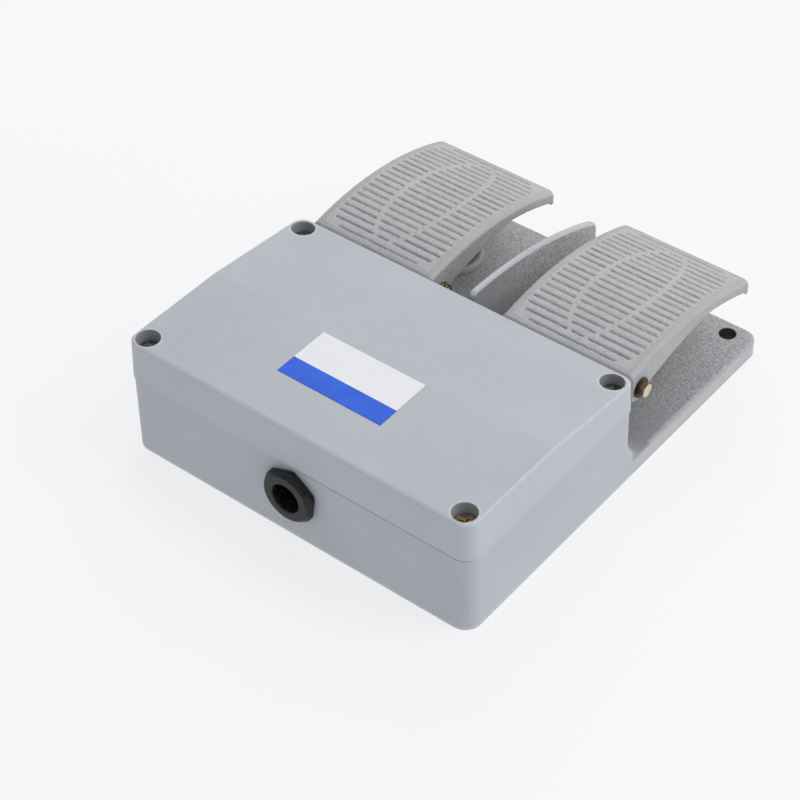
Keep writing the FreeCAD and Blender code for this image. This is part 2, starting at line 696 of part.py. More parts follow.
def return_spring():
    """Coil spring between the plate and the pedal's pad, its ends ground flat.
    The wire has six sides and runs straight from step to step, to keep its faces few."""
    z0, z1 = PLATE_T + FIX_GAP, SPRING_PAD_Z - FIX_GAP
    steps = SPRING_TURNS * SPRING_STEPS
    points = []
    for i in range(steps + 1):
        a = 2 * math.pi * i / SPRING_STEPS
        points.append(V(SPRING_MEAN_R * math.cos(a), SPRING_MEAN_R * math.sin(a), (z1 - z0) * i / steps))
    along = points[1] - points[0]
    section = hex_prism(SPRING_WIRE_R * math.sqrt(3.0), 1, tuple(points[0]), tuple(along))
    start = min(section.Faces, key=lambda f: (f.CenterOfMass - points[0]).Length)
    coil = Part.makePolygon(points).makePipeShell([start.OuterWire], True, False, 1)
    coil.translate(V(PEDAL_MID, SPRING_Y, z0))
    return coil.common(block(PEDAL_X0, PEDAL_X1, PEDAL_FAR, HINGE_Y, z0, z1))


# actuator and snap switch

def push_rod():
    return rod_y(PEDAL_MID, BACK_Y - ROD_OUT, SWITCH_FRONT - BUTTON_OUT - TOUCH_GAP, ROD_Z, ROD_R)


def switch_case():
    """Moulded case lying on its posts, its two screws' heads on top, with a well for the button
    and slots for the tabs."""
    x0, x1 = PEDAL_MID - SWITCH_L / 2, PEDAL_MID + SWITCH_L / 2
    case = block(x0, x1, SWITCH_FRONT, SWITCH_REAR, SWITCH_Z0 + FIX_GAP, SWITCH_Z1)
    up = (0, 0, 1)
    heads = [hex_prism(SWITCH_HEAD_AF, SWITCH_HEAD_H, (x, y, SWITCH_Z1), up) for x, y in switch_screw_spots()]
    end = SWITCH_FRONT + BUTTON_LEN - BUTTON_OUT + ROD_TRAVEL + BUTTON_SPARE
    cuts = [button_block(SWITCH_FRONT - 1, end, RUN_GAP)] + [tab(k, FIX_GAP) for k in (-1, 0, 1)]
    return case.fuse(heads).cut(cuts)


def button_block(y0, y1, grow):
    r = BUTTON_HALF + grow
    return block(PEDAL_MID - r, PEDAL_MID + r, y0, y1, ROD_Z - r, ROD_Z + r)


def switch_button():
    y0 = SWITCH_FRONT - BUTTON_OUT
    return button_block(y0, y0 + BUTTON_LEN, 0)


def tab(k, grow):
    """One flat push-on tab let into the back of a switch, or its slot when grown a little."""
    x, w, t = PEDAL_MID + k * TAB_PITCH, TAB_W / 2 + grow, TAB_T / 2 + grow
    return block(x - w, x + w, SWITCH_REAR - TAB_IN - grow, SWITCH_REAR + TAB_OUT, ROD_Z - t, ROD_Z + t)


def switch_terminals():
    out = []
    for k in (-1, 0, 1):
        out += both(tab(k, 0))
    return out


# cable gland and earth

def gland_body():
    """Hexagon-headed bush with a heavily chamfered face and a long threaded neck."""
    lean = BASE_DRAFT * (GLAND_Z - GLAND_AF / 2) / HOUSING_TOP
    y0 = REAR_Y - lean + FIX_GAP
    head_t = GLAND_FACE - y0
    head = hex_prism(GLAND_AF, head_t, (0, y0, GLAND_Z), (0, 1, 0))
    cone = Part.makeCone(GLAND_FACE_R + GLAND_CONE, GLAND_FACE_R, head_t, V(0, y0, GLAND_Z), V(0, 1, 0))
    end = CAVITY_REAR - GLAND_NECK_IN
    body = head.common(cone).fuse(rod_y(0, end, y0, GLAND_Z, GLAND_THREAD_R)).removeSplitter()
    return body.cut(rod_y(0, end - 1, GLAND_FACE + 1, GLAND_Z, GLAND_BORE_R))


def gland_lock_nut():
    y1 = CAVITY_REAR - FIX_GAP
    nut = hex_prism(GLAND_NUT_AF, GLAND_NUT_T, (0, y1, GLAND_Z), (0, -1, 0), 30)
    return nut.cut(rod_y(0, y1 - GLAND_NUT_T - 1, y1 + 1, GLAND_Z, GLAND_THREAD_R + FIX_GAP))


def earth_screw():
    z = EARTH_TOP + FIX_GAP
    head = hex_prism(EARTH_HEAD_AF, EARTH_HEAD_H, (EARTH_X, EARTH_Y, z), (0, 0, 1))
    return head.fuse(rod_z(EARTH_X, EARTH_Y, z - EARTH_LEN, z, SCREW_R)).removeSplitter()


def save(name, shapes):
    shapes = shapes if isinstance(shapes, list) else [shapes]
    solids = []
    for s in shapes:
        solids += s.Solids
    shape = solids[0] if len(solids) == 1 else Part.makeCompound(solids)
    shape.translate(V(0, SHIFT_Y, 0))
    shape.exportStep("parts/" + name + ".step")


def save_pair(name, shape):
    save("left_" + name, mirrored(shape))
    save("right_" + name, shape)


save("base_housing", base_housing())
save("lid", lid())
save("lid_gasket", lid_gasket())
save("lid_screws", lid_screws())
save("label", label())
save_pair("pedal", pedal())
save_pair("hinge_bolt", hinge_bolt())
save_pair("hinge_nut", hinge_nut())
save("hinge_washers", hinge_washers())
save_pair("return_spring", return_spring())
save_pair("push_rod", push_rod())
save_pair("switch_case", switch_case())
save_pair("switch_button", switch_button())
save("switch_terminals", switch_terminals())
save("gland_body", gland_body())
save("gland_lock_nut", gland_lock_nut())
save("earth_screw", earth_screw())
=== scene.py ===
import math

import bmesh
import bpy
from mathutils import Matrix, Vector, noise


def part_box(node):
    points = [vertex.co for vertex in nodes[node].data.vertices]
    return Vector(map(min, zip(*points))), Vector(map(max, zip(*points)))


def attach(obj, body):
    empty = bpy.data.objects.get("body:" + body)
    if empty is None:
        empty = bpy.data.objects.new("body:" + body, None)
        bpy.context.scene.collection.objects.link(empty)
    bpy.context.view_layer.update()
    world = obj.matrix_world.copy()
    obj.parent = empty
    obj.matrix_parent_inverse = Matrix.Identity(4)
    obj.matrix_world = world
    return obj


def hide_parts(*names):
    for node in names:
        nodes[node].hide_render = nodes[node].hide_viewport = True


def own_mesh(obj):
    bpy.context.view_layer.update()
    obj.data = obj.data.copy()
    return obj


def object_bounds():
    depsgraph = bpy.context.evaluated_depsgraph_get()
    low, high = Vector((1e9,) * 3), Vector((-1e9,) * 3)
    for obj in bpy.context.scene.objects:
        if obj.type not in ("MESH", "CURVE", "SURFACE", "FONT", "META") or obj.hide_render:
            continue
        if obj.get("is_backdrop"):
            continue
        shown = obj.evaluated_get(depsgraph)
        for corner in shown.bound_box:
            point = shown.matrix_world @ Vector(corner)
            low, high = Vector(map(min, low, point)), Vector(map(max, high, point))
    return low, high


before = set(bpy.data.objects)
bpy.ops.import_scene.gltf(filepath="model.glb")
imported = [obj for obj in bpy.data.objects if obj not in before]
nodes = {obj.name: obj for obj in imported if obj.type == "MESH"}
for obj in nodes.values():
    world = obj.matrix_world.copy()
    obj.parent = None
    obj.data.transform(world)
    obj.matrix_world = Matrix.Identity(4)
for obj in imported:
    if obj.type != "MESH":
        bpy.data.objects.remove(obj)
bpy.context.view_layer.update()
scene = bpy.context.scene

# Places and sizes in the frame, in metres, with angles in degrees and shares of 1

# The box, its lid and the plate
BOX_FRONT_Y = -0.0069
PLATE_TOP = 0.0065
SEAM_Z = 0.02935
REAR_FROM_Y = 0.0755
REAR_TO_Y = 0.0768
RIDGE_Y = 0.03636
HOLE_X = 0.059
HOLE_Y = -0.07554
LID_SCREW_X = 0.0619
LID_SCREW_MID_Y = 0.03611
LID_SCREW_HALF_Y = 0.0371
COUNTERBORE_R = 0.004
LABEL_BAND_Y = 0.0521

# The pedals: their middle, the round of the tread, the field of grooves and the skin
PEDAL_MID = 0.03915
TREAD_AXIS_Y = -0.03254
TREAD_AXIS_Z = -0.0739
TREAD_R = 0.11392
FIELD_HALF = 0.0218
FIELD_NEAR_Y = -0.0109
FIELD_FAR_Y = -0.0755
PEDAL_VOXEL = 0.00032
GRAIN_LENGTH = 0.0009
GRAIN_DEPTH = 0.00009

# The springs and their seats
SPRING_Y = -0.05154
SPRING_R = 0.0062
SPRING_WIRE_R = 0.0008
SPRING_TURNS = 6.5
SEAT_R = 0.0115

# The hinges' bolts and nuts
HINGE_Y = -0.01354
HINGE_Z = 0.0305
HINGE_SHANK_R = 0.0019
BOLT_SHARE = 0.82
NUT_SHARE = 0.86
HEAD_CHAMFER = 0.00022

# The cable entry and its hexagon
GLAND_Z = 0.0182
GLAND_VOXEL = 0.00024
HEX_Y = 0.0755
HEX_TURN = -22.0
HEX_KEEP_R = 0.007
HEX_CORNER_R = 0.0105
HEX_SHARE = 0.8

# Corners nearer than this are one corner
WELD = 1e-6

# Colour of the open seam between the lid and the box
SEAM_SHADE = (0.10, 0.105, 0.11)


# Materials

class Paint:
    """A node material under construction, with short calls for the nodes it needs."""

    def __init__(self, name):
        self.material = bpy.data.materials.new(name)
        self.material.use_nodes = True
        self.tree = self.material.node_tree
        self.tree.nodes.clear()
        output = self.add("ShaderNodeOutputMaterial")
        self.shader = self.add("ShaderNodeBsdfPrincipled")
        self.feed(output, "Surface", self.shader.outputs["BSDF"])
        self.place = self.add("ShaderNodeTexCoord")
        self.normal = None

    def add(self, kind, **settings):
        node = self.tree.nodes.new(kind)
        for key, value in settings.items():
            setattr(node, key, value)
        return node

    def feed(self, node, socket, value):
        """Puts a value or another node's output on a socket."""
        if isinstance(value, bpy.types.NodeSocket):
            self.tree.links.new(value, node.inputs[socket])
        else:
            node.inputs[socket].default_value = value

    def feed_colour(self, node, socket, value):
        """Puts a colour of three numbers or another node's output on a socket."""
        if not isinstance(value, bpy.types.NodeSocket):
            value = (*value, 1.0)
        self.feed(node, socket, value)

    def set(self, **values):
        """Puts values on the shader's own sockets, with _ for each space in a socket's name."""
        for key, value in values.items():
            self.feed(self.shader, key.replace("_", " "), value)

    def colour(self, value):
        self.feed_colour(self.shader, "Base Color", value)

    def math(self, operation, a, b=0.0, clamp=False):
        node = self.add("ShaderNodeMath", operation=operation, use_clamp=clamp)
        self.feed(node, 0, a)
        self.feed(node, 1, b)
        return node.outputs[0]

    def times(self, a, b, clamp=False):
        return self.math("MULTIPLY", a, b, clamp)

    def unsigned(self, value):
        """The value without its sign."""
        return self.math("ABSOLUTE", value)

    def distance(self, value, middle):
        """How far a value lies from middle, either way."""
        return self.unsigned(self.math("SUBTRACT", value, middle))

    def reach(self, a, middle_a, b, middle_b):
        """Distance from a line that crosses the plane of a and b."""
        first = self.math("SUBTRACT", a, middle_a)
        second = self.math("SUBTRACT", b, middle_b)
        squares = self.math("ADD", self.times(first, first), self.times(second, second))
        return self.math("SQRT", squares)

    def component(self, source, name):
        node = self.add("ShaderNodeSeparateXYZ")
        self.feed(node, 0, self.place.outputs[source])
        return node.outputs[name]

    def axis(self, name):
        """The place on the object along one axis, in metres."""
        return self.component("Object", name)

    def facing(self, name):
        """How far the surface looks along one axis, from -1 to 1."""
        return self.component("Normal", name)

    def noise(self, scale, detail=3.0, rough=0.55, distortion=0.0):
        node = self.add("ShaderNodeTexNoise")
        self.feed(node, "Vector", self.place.outputs["Object"])
        self.feed(node, "Scale", scale)
        self.feed(node, "Detail", detail)
        self.feed(node, "Roughness", rough)
        self.feed(node, "Distortion", distortion)
        return node.outputs["Fac"]

    def ramp(self, value, low, high, out_low=0.0, out_high=1.0):
        """Value carried smoothly from the range low..high to out_low..out_high."""
        node = self.add("ShaderNodeMapRange", interpolation_type="SMOOTHSTEP")
        self.feed(node, "Value", value)
        self.feed(node, "From Min", low)
        self.feed(node, "From Max", high)
        self.feed(node, "To Min", out_low)
        self.feed(node, "To Max", out_high)
        return node.outputs[0]

    def mix(self, factor, a, b):
        """Colour a where factor is 0 and colour b where it is 1."""
        node = self.add("ShaderNodeMix", data_type="RGBA")
        self.feed(node, 0, factor)
        self.feed_colour(node, 6, a)
        self.feed_colour(node, 7, b)
        return node.outputs[2]

    def open_seam(self):
        """Strength of the seam's dark line: plain on the rear wall's left half, faint elsewhere."""
        rear = self.ramp(self.axis("Y"), REAR_FROM_Y, REAR_TO_Y, 0.0, 1.0)
        half = self.ramp(self.axis("X"), -0.004, 0.004, 1.0, 0.0)
        broken = self.ramp(self.noise(90.0, 2.0), 0.35, 0.6, 0.55, 1.0)
        shown = self.times(self.times(rear, half), broken)
        return self.ramp(shown, 0.0, 1.0, 0.12, 1.0)

    def shade_along(self, normal):
        self.normal = normal
        self.feed(self.shader, "Normal", normal)

    def soft_edges(self, radius, samples=6):
        node = self.add("ShaderNodeBevel", samples=samples)
        self.feed(node, "Radius", radius)
        self.shade_along(node.outputs[0])

    def bump(self, height, depth):
        """Height field in 0..1 that stands depth metres high."""
        node = self.add("ShaderNodeBump")
        self.feed(node, "Height", height)
        self.feed(node, "Strength", 1.0)
        self.feed(node, "Distance", depth)
        if self.normal:
            self.feed(node, "Normal", self.normal)
        self.shade_along(node.outputs[0])


def lid_paint():
    """Smooth semi-matt paint with a slight orange peel, with painted highlights at the fillets and rims in
    patches like worn paint, painted shade on the counterbores' walls and painted light that makes the sides
    paler.
    """
    paint = Paint("lid_paint")
    off_seam = paint.distance(paint.axis("Z"), SEAM_Z)
    side_x = paint.unsigned(paint.axis("X"))

    # Rounding of the edges: least at the seam, small elsewhere, wide along the ridge
    small = paint.ramp(off_seam, 0.0008, 0.0025, 0.0001, 0.0006)
    wide = paint.ramp(paint.distance(paint.axis("Y"), RIDGE_Y), 0.0, 0.011, 0.010, 0.0)
    wide = paint.times(wide, paint.ramp(side_x, 0.046, 0.057, 1.0, 0.0))
    paint.soft_edges(paint.math("MAXIMUM", small, wide), 10)

    # Painted highlights along the fillets and round the counterbores' rims, in patches like worn paint, and
    # painted shade where a counterbore's wall lies in the dark
    along = paint.distance(paint.axis("Y"), LID_SCREW_MID_Y)
    hole = paint.reach(side_x, LID_SCREW_X, along, LID_SCREW_HALF_Y)
    inside = paint.ramp(hole, COUNTERBORE_R + 0.00005, COUNTERBORE_R + 0.0002, 1.0, 0.0)
    rim = paint.ramp(hole, COUNTERBORE_R + 0.0004, COUNTERBORE_R + 0.0008, 1.0, 0.0)
    up = paint.facing("Z")
    fillet = paint.times(paint.ramp(up, 0.45, 0.7), paint.ramp(up, 0.88, 0.96, 1.0, 0.0))
    patchy = paint.ramp(paint.noise(420.0, 3.0), 0.3, 0.6, 0.45, 0.85)
    # The painted highlight is made stronger on the fillets that face the rear, which get less light
    rear = paint.ramp(paint.facing("Y"), 0.3, 0.5, 1.0, 2.6)
    edges = paint.math("MAXIMUM", paint.times(fillet, rear), rim)
    highlight_and_wear = paint.times(edges, patchy, True)

    # Tone, with painted light that makes the sides a little paler and bluer
    cloud = paint.noise(28.0, 4.0)
    fine = paint.noise(900.0, 3.0)
    tone = paint.mix(paint.ramp(cloud, 0.3, 0.7), (0.422, 0.442, 0.477), (0.446, 0.466, 0.502))
    tone = paint.mix(paint.ramp(fine, 0.55, 0.8, 0.0, 0.12), tone, (0.62, 0.63, 0.65))
    # Painted light: the sides paler and bluer than the top
    tone = paint.mix(paint.ramp(up, 0.2, 0.5, 0.3, 0.0), tone, (0.62, 0.64, 0.70))
    # Painted highlight, patchy like wear, on the fillets and round the rims
    tone = paint.mix(paint.times(highlight_and_wear, 0.6), tone, (0.64, 0.65, 0.68))
    # Painted shade on the counterbores' walls
    tone = paint.mix(paint.times(inside, 0.45), tone, (0.12, 0.12, 0.125))
    seam = paint.times(paint.ramp(off_seam, 0.0003, 0.00055, 0.6, 0.0), paint.open_seam())
    paint.colour(paint.mix(seam, tone, SEAM_SHADE))
    paint.set(Roughness=paint.ramp(paint.noise(240.0, 3.0), 0.2, 0.8, 0.46, 0.6), Specular_IOR_Level=0.42)
    paint.bump(paint.noise(620.0, 2.0, 0.5), 0.00006)
    paint.bump(paint.noise(2600.0, 2.0, 0.5), 0.000018)
    return paint


def casting_paint():
    """Housing paint: smooth on the box, thick and grained on the plate, the fin and the lugs, with painted
    shade under the pedals, in the springs' seats and in the plate's holes, painted highlights on the fin's
    crest and the seats' lips, and a painted reflection along the box's foot.
    """
    paint = Paint("housing_paint")
    y = paint.axis("Y")
    z = paint.axis("Z")
    side_x = paint.unsigned(paint.axis("X"))
    off_seam = paint.distance(z, SEAM_Z)
    paint.soft_edges(paint.ramp(off_seam, 0.0008, 0.0025, 0.0001, 0.0011), 8)

    # Where the grained paint lies
    front = paint.ramp(y, BOX_FRONT_Y - 0.0010, BOX_FRONT_Y + 0.0012, 1.0, 0.0)
    above = paint.ramp(z, PLATE_TOP - 0.0016, PLATE_TOP - 0.0003, 0.25, 1.0)
    strong = paint.ramp(y, -0.048, -0.014, 1.0, 0.35)
    rough = paint.times(paint.times(front, above, True), strong)

    # Tone of the grained paint
    grain = paint.noise(1050.0, 4.0, 0.62)
    spread = paint.math("ADD", paint.times(paint.math("SUBTRACT", grain, 0.5), strong), 0.5)
    grained_tone = paint.mix(paint.ramp(spread, 0.30, 0.70), (0.270, 0.277, 0.288), (0.490, 0.495, 0.505))
    # Painted shade under the pedals, darker towards the box
    shade_under_pedals = paint.ramp(y, -0.046, -0.012, 0.0, 0.34)
    grained_tone = paint.mix(shade_under_pedals, grained_tone, (0.15, 0.16, 0.165))
    # Painted highlight on the fin's crest and the other raised tops that face up
    raised = paint.ramp(z, PLATE_TOP + 0.0035, PLATE_TOP + 0.0075)
    crest_highlight = paint.times(raised, paint.ramp(paint.facing("Z"), 0.25, 0.6), True)
    grained_tone = paint.mix(crest_highlight, grained_tone, (0.50, 0.505, 0.515))
    low_side = paint.ramp(z, PLATE_TOP - 0.0014, PLATE_TOP - 0.0002, 1.0, 0.0)
    grained_tone = paint.mix(low_side, grained_tone, (0.47, 0.475, 0.485))

    # Springs' seats, with a painted highlight on the lip and painted shade inside
    seat = paint.reach(side_x, PEDAL_MID, y, SPRING_Y)
    on_ring = paint.ramp(z, PLATE_TOP + 0.0010, PLATE_TOP + 0.0022)
    lip = paint.times(paint.ramp(seat, SEAT_R - 0.0010, SEAT_R - 0.0006), on_ring)
    lip = paint.times(lip, paint.ramp(seat, SEAT_R + 0.0003, SEAT_R + 0.0006, 0.8, 0.0))
    grained_tone = paint.mix(lip, grained_tone, (0.62, 0.625, 0.635))
    inside = paint.ramp(seat, SEAT_R - 0.0019, SEAT_R - 0.0012, 0.7, 0.0)
    grained_tone = paint.mix(paint.times(inside, front), grained_tone, (0.07, 0.07, 0.072))

    # Tone of the smooth paint on the box
    cloud = paint.noise(30.0, 4.0)
    smooth_tone = paint.mix(paint.ramp(cloud, 0.3, 0.7), (0.442, 0.464, 0.502), (0.470, 0.493, 0.533))
    # Painted reflection of the floor: paler and bluer along the box's foot
    foot_reflection = paint.ramp(z, 0.0004, 0.0016, 0.45, 0.0)
    smooth_tone = paint.mix(foot_reflection, smooth_tone, (0.64, 0.66, 0.70))
    seam = paint.times(paint.ramp(off_seam, 0.0002, 0.0004, 0.5, 0.0), paint.open_seam())
    smooth_tone = paint.mix(seam, smooth_tone, SEAM_SHADE)

    tone = paint.mix(front, smooth_tone, grained_tone)
    # Painted shade: the plate's holes coloured near black inside
    bore = paint.ramp(paint.reach(side_x, HOLE_X, y, HOLE_Y), 0.00285, 0.0031, 1.0, 0.0)
    paint.colour(paint.mix(bore, tone, (0.012, 0.012, 0.012)))
    paint.set(Roughness=paint.ramp(grain, 0.3, 0.7, 0.42, 0.60), Specular_IOR_Level=0.42)
    lumps = paint.noise(780.0, 3.0, 0.6, distortion=0.4)
    pits = paint.ramp(paint.noise(1700.0, 2.0, 0.5), 0.35, 0.75)
    paint.bump(paint.times(lumps, rough), 0.00042)
    paint.bump(paint.times(pits, rough), 0.00011)
    paint.bump(paint.noise(640.0, 2.0, 0.5), 0.00006)
    return paint


def pedal_paint():
    """Pedal paint: neutral grey, with dirt and painted shade down in the grooves, a painted shadow by the
    box, a painted highlight with wear along the tread's borders, and worn high spots.
    """
    paint = Paint("pedal_paint")
    y = paint.axis("Y")

    # Where the grooved field, the tread and the floors of the grooves lie
    across = paint.distance(paint.unsigned(paint.axis("X")), PEDAL_MID)
    middle = paint.ramp(across, FIELD_HALF, FIELD_HALF + 0.0006, 1.0, 0.0)
    along = paint.distance(y, (FIELD_NEAR_Y + FIELD_FAR_Y) / 2)
    half = (FIELD_NEAR_Y - FIELD_FAR_Y) / 2
    field = paint.times(middle, paint.ramp(along, half, half + 0.0006, 1.0, 0.0))
    radius = paint.reach(y, TREAD_AXIS_Y, paint.axis("Z"), TREAD_AXIS_Z)
    deep = paint.ramp(radius, TREAD_R - 0.00052, TREAD_R - 0.00008, 1.0, 0.0)
    tread = paint.ramp(radius, TREAD_R - 0.0014, TREAD_R - 0.0009)
    grooves = paint.times(paint.times(deep, tread), field, True)

    # Tone of the skin, worn and speckled on the field, with a painted highlight along the borders and a
    # painted shadow by the box
    cloud = paint.noise(34.0, 4.0)
    fine = paint.noise(1300.0, 3.0)
    tone = paint.mix(paint.ramp(cloud, 0.3, 0.7), (0.352, 0.354, 0.360), (0.386, 0.388, 0.394))
    tone = paint.mix(paint.ramp(fine, 0.5, 0.8, 0.0, 0.25), tone, (0.50, 0.50, 0.505))
    tone = paint.mix(paint.times(field, 0.30), tone, (0.58, 0.58, 0.59))
    speckle = paint.ramp(paint.noise(1500.0, 4.0, 0.7), 0.33, 0.52, 0.40, 0.0)
    tone = paint.mix(paint.times(speckle, field), tone, (0.18, 0.18, 0.183))
    # Painted highlight, with some wear, along the tread's long borders
    border = paint.ramp(across, 0.0236, 0.0243)
    edge = paint.times(border, paint.ramp(radius, TREAD_R - 0.0016, TREAD_R - 0.0008), True)
    tone = paint.mix(paint.times(edge, 0.2), tone, (0.56, 0.56, 0.565))
    # Painted shadow where the lid's edge shades the pedal's end by the box
    shadow_at_box = paint.ramp(y, -0.0098, -0.0090, 0.0, 0.5)
    tone = paint.mix(shadow_at_box, tone, (0.08, 0.08, 0.082))
    # Dirt and painted shade down in the grooves, in patches
    dirt_and_shade_patches = paint.ramp(paint.noise(300.0, 3.0), 0.3, 0.7, 0.35, 0.75)
    groove_dirt_and_shade = paint.mix(dirt_and_shade_patches, tone, (0.13, 0.13, 0.134))

    paint.colour(paint.mix(grooves, tone, groove_dirt_and_shade))
    paint.set(Roughness=paint.ramp(paint.noise(260.0, 3.0), 0.2, 0.8, 0.40, 0.55), Specular_IOR_Level=0.45)
    paint.bump(paint.noise(520.0, 3.0, 0.55), 0.00012)
    paint.bump(paint.times(paint.noise(1300.0, 3.0, 0.6), field), 0.00016)
    paint.bump(paint.noise(1900.0, 2.0, 0.5), 0.00003)
    return paint


def screw_plating():
    """Yellow zinc on the lid's screws, with painted shade and pale painted glints in place of the gold on
    three of them.
    """
    paint = Paint("screw_plating")
    paint.soft_edges(0.00025)
    patch = paint.noise(700.0, 3.0, 0.6)
    gold_tone = paint.mix(paint.ramp(patch, 0.35, 0.65), (0.74, 0.54, 0.28), (0.36, 0.27, 0.14))
    # Painted shade with pale painted glints, for all but the left rear screw
    shade_with_glints = paint.mix(paint.ramp(patch, 0.42, 0.68), (0.15, 0.15, 0.12), (0.50, 0.50, 0.44))
    left = paint.ramp(paint.axis("X"), -0.02, 0.02, 1.0, 0.0)
    rear = paint.ramp(paint.axis("Y"), 0.02, 0.05)
    paint.colour(paint.mix(paint.times(left, rear), shade_with_glints, gold_tone))
    paint.set(Metallic=1.0, Roughness=paint.ramp(paint.noise(1500.0), 0.2, 0.8, 0.26, 0.46))
    paint.bump(paint.noise(1600.0, 2.0, 0.5), 0.00003)
    return paint


def seal_paint():
    """Edge of the lid's seal, painted over except along the rear wall's left half."""
    paint = Paint("seal_rubber")
    bare = paint.mix(paint.ramp(paint.noise(1500.0), 0.35, 0.75), (0.03, 0.031, 0.033), (0.05, 0.052, 0.055))
    over = paint.mix(paint.ramp(paint.noise(600.0), 0.3, 0.7), (0.33, 0.345, 0.375), (0.38, 0.395, 0.425))
    paint.colour(paint.mix(paint.open_seam(), over, bare))
    paint.set(Roughness=paint.ramp(paint.noise(900.0), 0.2, 0.8, 0.6, 0.8))
    paint.bump(paint.noise(1500.0, 2.0, 0.5), 0.00002)
    return paint


def hinge_plating():
    """Yellow zinc on the hinges: pale on the bolts' faces, browned on their flanks, with painted shade and
    small painted glints at the nuts.
    """
    paint = Paint("hinge_plating")
    side_x = paint.unsigned(paint.axis("X"))
    patch = paint.noise(900.0, 3.0, 0.6)
    face = paint.mix(paint.ramp(patch, 0.4, 0.7), (0.74, 0.66, 0.42), (0.52, 0.50, 0.34))
    flank = paint.mix(paint.ramp(patch, 0.35, 0.65), (0.36, 0.24, 0.14), (0.16, 0.11, 0.075))
    # Painted shade with small painted glints of gold, for the nuts on the pedals' inner sides
    shade_with_glints = paint.mix(paint.ramp(patch, 0.5, 0.62), (0.055, 0.050, 0.034), (0.62, 0.56, 0.34))
    ends = paint.ramp(paint.unsigned(paint.facing("X")), 0.55, 0.9)
    outer = paint.ramp(paint.distance(side_x, PEDAL_MID), 0.0245, 0.0252)
    outside = paint.ramp(side_x, PEDAL_MID, PEDAL_MID + 0.001)
    bolt = paint.mix(paint.times(ends, outer), flank, face)
    paint.colour(paint.mix(outside, shade_with_glints, bolt))
    paint.set(Metallic=1.0, Roughness=paint.ramp(paint.noise(1500.0), 0.2, 0.8, 0.30, 0.5))
    paint.bump(paint.noise(1600.0, 2.0, 0.5), 0.00002)
    return paint


def plated(name, tone, stain, rough):
    """Plated steel or turned brass with a fine grain and faint stains."""
    paint = Paint(name)
    paint.soft_edges(0.00025)
    grain = paint.noise(900.0, 4.0, 0.6)
    patch = paint.noise(220.0, 3.0)
    paint.colour(paint.mix(paint.ramp(patch, 0.35, 0.7), tone, stain))
    paint.set(Metallic=1.0, Roughness=paint.ramp(grain, 0.2, 0.8, rough - 0.08, rough + 0.12))
    paint.bump(grain, 0.00002)
    return paint


def dull(name, tone, spot, rough, lumps, depth, level=0.45):
    """Plastic with a fine moulded grain."""
    paint = Paint(name)
    paint.soft_edges(0.0003)
    grain = paint.noise(lumps, 3.0, 0.6)
    paint.colour(paint.mix(paint.ramp(grain, 0.35, 0.75), tone, spot))
    paint.set(Roughness=paint.ramp(grain, 0.2, 0.8, rough - 0.06, rough + 0.08), Specular_IOR_Level=level)
    paint.bump(grain, depth)
    return paint


def label_film():
    """Bare rating plate: white film with a plain blue band, slightly mottled."""
    paint = Paint("label_film")
    band = paint.ramp(paint.axis("Y"), LABEL_BAND_Y - 0.00006, LABEL_BAND_Y + 0.00006)
    haze = paint.noise(160.0, 3.0)
    white = paint.mix(paint.ramp(haze, 0.3, 0.7), (0.755, 0.76, 0.785), (0.785, 0.79, 0.815))
    blue = paint.mix(paint.ramp(haze, 0.3, 0.7), (0.003, 0.090, 0.63), (0.005, 0.103, 0.69))
    paint.colour(paint.mix(band, white, blue))
    paint.set(Roughness=paint.ramp(paint.noise(420.0, 2.0), 0.2, 0.8, 0.34, 0.46), Specular_IOR_Level=0.3)
    paint.bump(paint.noise(1400.0, 2.0, 0.5), 0.000012)
    return paint


finishes = {
    "lid": lid_paint(),
    "housing": casting_paint(),
    "pedal": pedal_paint(),
    "rubber": seal_paint(),
    "screw": screw_plating(),
    "hinge": hinge_plating(),
    "dark": plated("dark_steel", (0.085, 0.062, 0.045), (0.030, 0.026, 0.022), 0.45),
    "spring": plated("spring_steel", (0.30, 0.30, 0.305), (0.20, 0.20, 0.20), 0.34),
    "bright": plated("bright_steel", (0.60, 0.60, 0.61), (0.48, 0.48, 0.48), 0.28),
    "brass": plated("turned_brass", (0.72, 0.54, 0.24), (0.60, 0.44, 0.20), 0.30),
    "phenolic": dull("black_phenolic", (0.024, 0.022, 0.021), (0.05, 0.046, 0.044), 0.42, 1200.0, 0.00003),
    "red": dull("red_button", (0.46, 0.035, 0.02), (0.56, 0.06, 0.035), 0.36, 900.0, 0.00001),
    "nylon": dull("black_nylon", (0.007, 0.007, 0.008), (0.026, 0.026, 0.029), 0.42, 900.0, 0.00006, 0.28),
    "label": label_film(),
}
node_finish = {
    "base_housing": "housing", "lid": "lid", "lid_gasket": "rubber", "lid_screws": "screw", "label": "label",
    "pedal": "pedal", "hinge_bolt": "hinge", "hinge_nut": "hinge", "hinge_washers": "dark",
    "return_spring": "spring", "push_rod": "bright", "switch_case": "phenolic", "switch_button": "red",
    "switch_terminals": "brass", "gland_body": "nylon", "gland_lock_nut": "nylon", "earth_screw": "brass",
}


def give_finish(piece, finish):
    piece.data.materials.clear()
    piece.data.materials.append(finishes[finish].material)


for name, node in nodes.items():
    give_finish(node, node_finish[name.replace("left_", "").replace("right_", "")])


# Pieces

def in_scene(name, mesh):
    piece = bpy.data.objects.new(name, mesh)
    scene.collection.objects.link(piece)
    return piece


def copied(node_name, piece_name):
    """A piece with a CAD node's mesh, its split corners joined."""
    mesh = nodes[node_name].data.copy()
    form = bmesh.new()
    form.from_mesh(mesh)
    bmesh.ops.remove_doubles(form, verts=form.verts, dist=WELD)
    form.to_mesh(mesh)
    form.free()
    return in_scene(piece_name, mesh)


